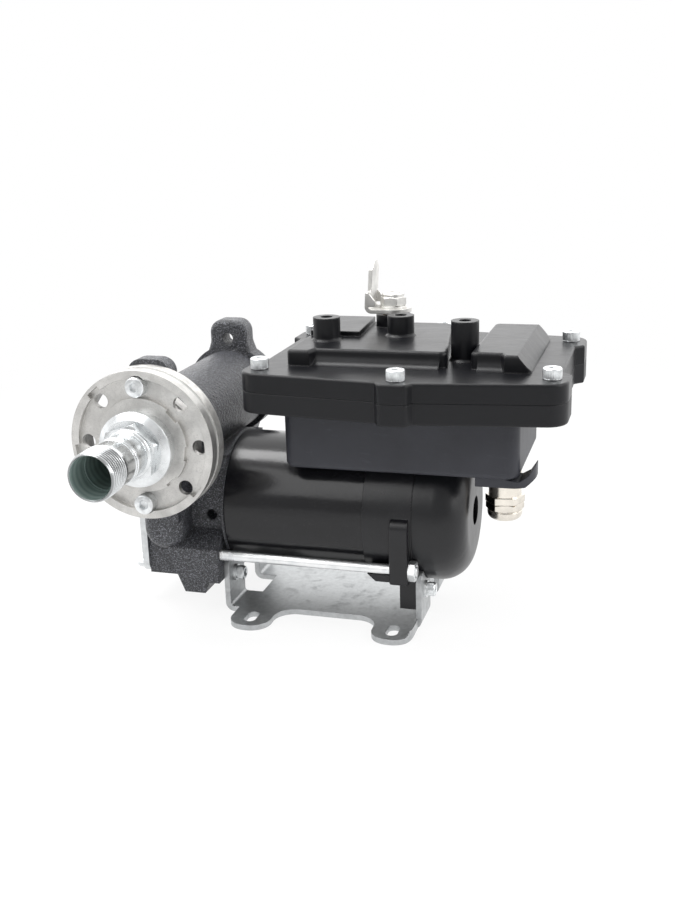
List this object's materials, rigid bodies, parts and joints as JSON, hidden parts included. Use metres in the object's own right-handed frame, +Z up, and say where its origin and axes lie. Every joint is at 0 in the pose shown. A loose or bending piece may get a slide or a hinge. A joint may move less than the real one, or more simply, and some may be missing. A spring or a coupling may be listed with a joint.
{
  "type": "electric fuel transfer pump",
  "caption": "Electric fuel transfer pump with flanged inlet, cylindrical motor on a slotted bracket, saddled switch box, lever and cable gland.",
  "frame": {"origin": "underside of the bracket, midway between its four slots", "axes": "+X along the motor to its domed end, +Y away from the inlet, +Z up"},
  "size_m": [0.3342, 0.261, 0.247],
  "materials": {
    "core_steel": "stacked sheet",
    "copper": "bare copper",
    "zinc_steel": "zinc plated",
    "bearing_steel": "ground",
    "black_plastic": "moulded black plastic",
    "inner_plastic": "plain",
    "spring_steel": "plain",
    "board": "green board",
    "black_paint": "gloss black paint",
    "magnet": "sintered",
    "nickel_brass": "nickel plated brass",
    "dark_rubber": "matt",
    "raw_aluminium": "cast and machined",
    "stainless": "polished stainless",
    "carbon": "pressed carbon",
    "black_casting": "coarse black coating",
    "bronze": "sintered bronze"
  },
  "bodies": {
    "housing": {"base_bracket": "zinc_steel", "bearing_outer_rings": "bearing_steel", "box_lid": "black_plastic", "box_mount_screws": "zinc_steel", "box_tub": "black_plastic", "bracket_screws": "zinc_steel", "bracket_washers": "zinc_steel", "brush_holders": "inner_plastic", "brush_plate": "inner_plastic", "bypass_spring": "spring_steel", "control_board": "board", "cover_screws": "zinc_steel", "end_bell": "black_paint", "end_cap": "black_plastic", "field_magnets": "magnet", "gland_body": "nickel_brass", "gland_dome_nut": "nickel_brass", "gland_locknut": "nickel_brass", "gland_seal": "dark_rubber", "inlet_backing_ring": "raw_aluminium", "inlet_flange": "raw_aluminium", "inlet_gasket": "dark_rubber", "inlet_screws": "zinc_steel", "inlet_strainer": "stainless", "lid_gasket": "dark_rubber", "lid_screws": "zinc_steel", "lower_brush_spring": "spring_steel", "micro_switch": "inner_plastic", "motor_front_plate": "core_steel", "motor_tube": "black_paint", "nipple_collar": "zinc_steel", "nipple_seal": "dark_rubber", "pump_body": "black_casting", "pump_cover": "zinc_steel", "pump_seals": "dark_rubber", "saddle_pad": "dark_rubber", "shaft_bush": "bronze", "spring_retainer": "zinc_steel", "terminal_block": "inner_plastic", "threaded_nipple": "zinc_steel", "tie_rod_nuts": "zinc_steel", "tie_rods": "zinc_steel", "upper_brush_spring": "spring_steel"},
    "rotor": {"drive_shaft": "bearing_steel", "pump_rotor": "core_steel", "vanes": "carbon", "armature_core": "core_steel", "armature_windings": "copper", "commutator": "copper", "bearing_inner_rings": "bearing_steel"},
    "bearing_ball_sets": {"bearing_balls": "bearing_steel"},
    "bypass_valve": {"bypass_poppet": "inner_plastic"},
    "brush_upper": {"upper_brush": "carbon"},
    "brush_lower": {"lower_brush": "carbon"},
    "lever_set": {"switch_shaft": "stainless", "lever": "stainless", "lever_washer": "stainless", "lever_nut": "stainless", "switch_cam": "inner_plastic"},
    "plunger": {"switch_plunger": "inner_plastic"}
  },
  "joints": [
    {"name": "shaft_spin", "type": "hinge", "parent": "housing", "child": "rotor", "pos_m": [0, 0, 0.0755], "axis": [1, 0, 0], "continuous": true},
    {"name": "ball_spin", "type": "hinge", "parent": "housing", "child": "bearing_ball_sets", "pos_m": [0, 0, 0.0755], "axis": [1, 0, 0], "continuous": true},
    {"name": "bypass_lift", "type": "slide", "parent": "housing", "child": "bypass_valve", "axis": [0, -1, 0], "range_m": [0, 0.005], "stiffness_N_per_m": 3000, "springref_m": -0.005, "deforming": ["bypass_spring"]},
    {"name": "upper_brush_slide", "type": "slide", "parent": "housing", "child": "brush_upper", "axis": [0, 0, 1], "range_m": [0, 0.004], "stiffness_N_per_m": 900, "springref_m": -0.006, "deforming": ["upper_brush_spring"]},
    {"name": "lower_brush_slide", "type": "slide", "parent": "housing", "child": "brush_lower", "axis": [0, 0, -1], "range_m": [0, 0.004], "stiffness_N_per_m": 900, "springref_m": -0.006, "deforming": ["lower_brush_spring"]},
    {"name": "lever_turn", "type": "hinge", "parent": "housing", "child": "lever_set", "pos_m": [0.03, 0.047, 0.21], "axis": [0, 0, 1], "range_deg": [0, 60]},
    {"name": "plunger_slide", "type": "slide", "parent": "housing", "child": "plunger", "axis": [1, 0, 0], "range_m": [0, 0.0015]}
  ],
  "couplings": [
    {"joint": "ball_spin", "follows": "shaft_spin", "ratio": 0.365},
    {"joint": "plunger_slide", "follows": "lever_turn", "m_per_rad": 0.0014324}
  ]
}
